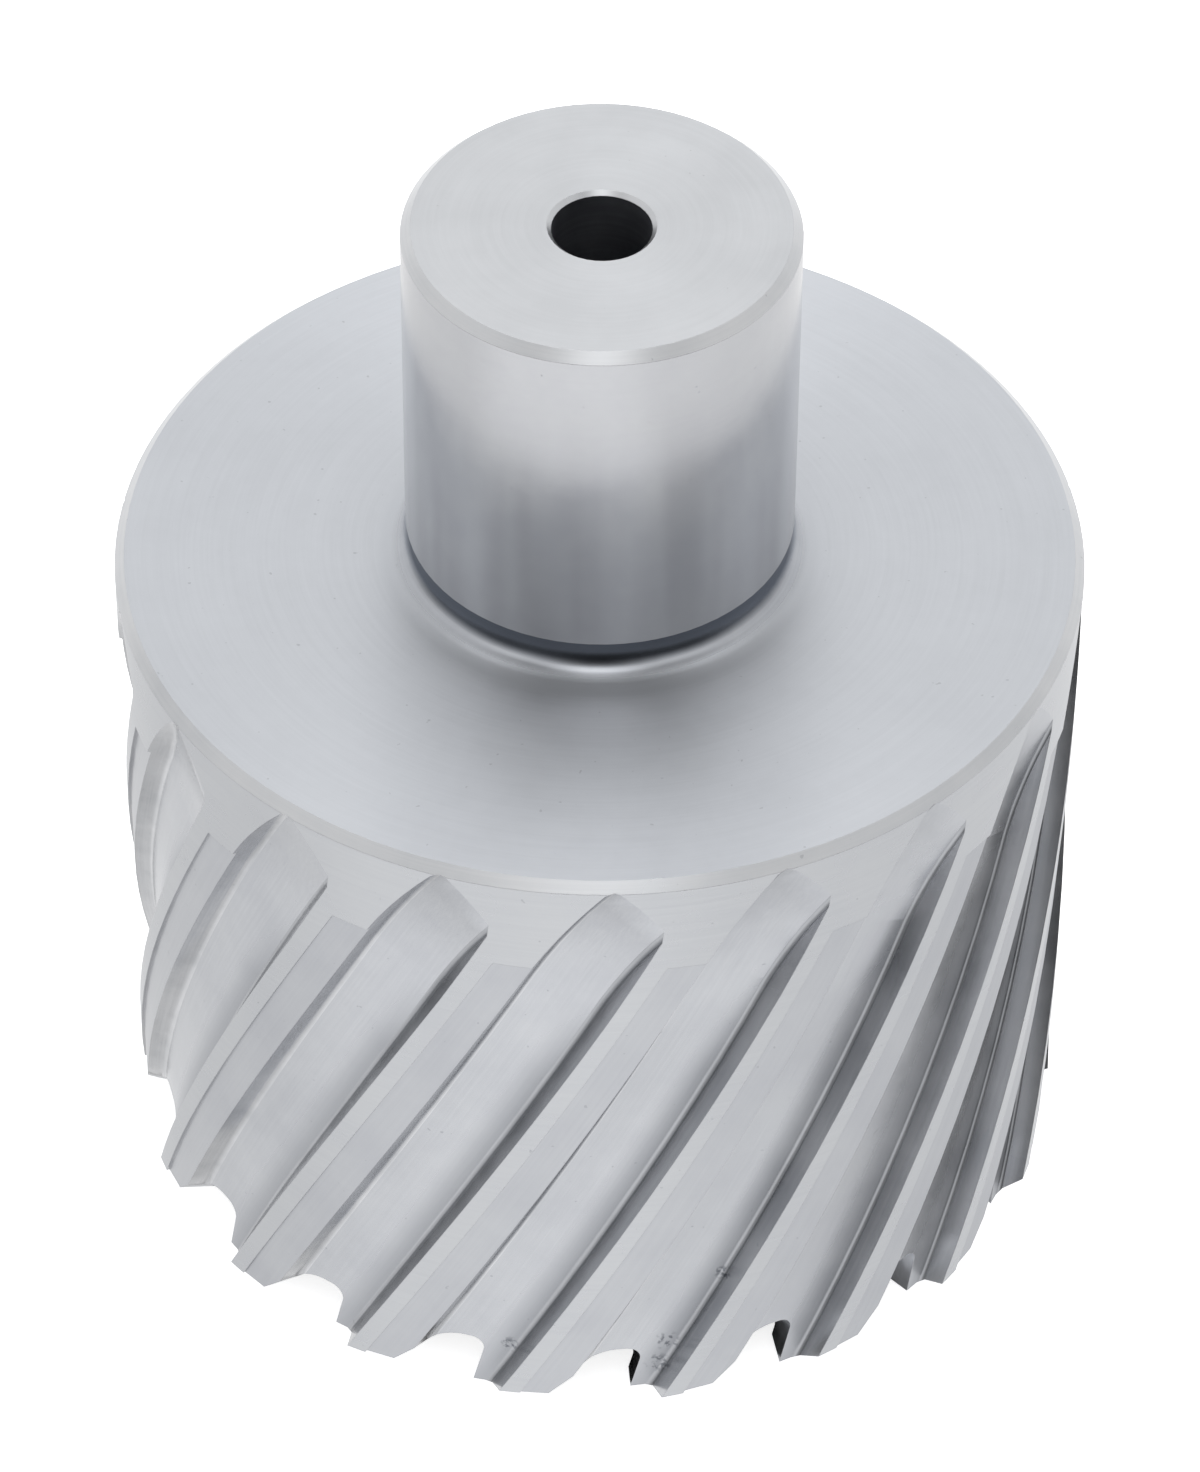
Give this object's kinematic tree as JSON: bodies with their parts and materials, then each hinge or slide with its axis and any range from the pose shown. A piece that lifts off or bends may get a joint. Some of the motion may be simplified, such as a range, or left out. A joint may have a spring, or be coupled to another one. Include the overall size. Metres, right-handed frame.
{
  "type": "annular cutter",
  "caption": "One-piece annular cutter for drilling large holes in metal: toothed ring with helical flutes, closed top and plain round shank with a pilot bore.",
  "frame": {"origin": "on the cutter's axis, in the plane of the lowest tooth tips", "axes": "+Z along the axis from the tooth tips to the shank; -Y is the front, with a flat tooth 8 degrees to its right"},
  "size_m": [0.0794, 0.0794, 0.096],
  "materials": {
    "ground_steel": "ground high-speed steel"
  },
  "bodies": {
    "root": {"annular_cutter": "ground_steel"}
  },
  "joints": []
}
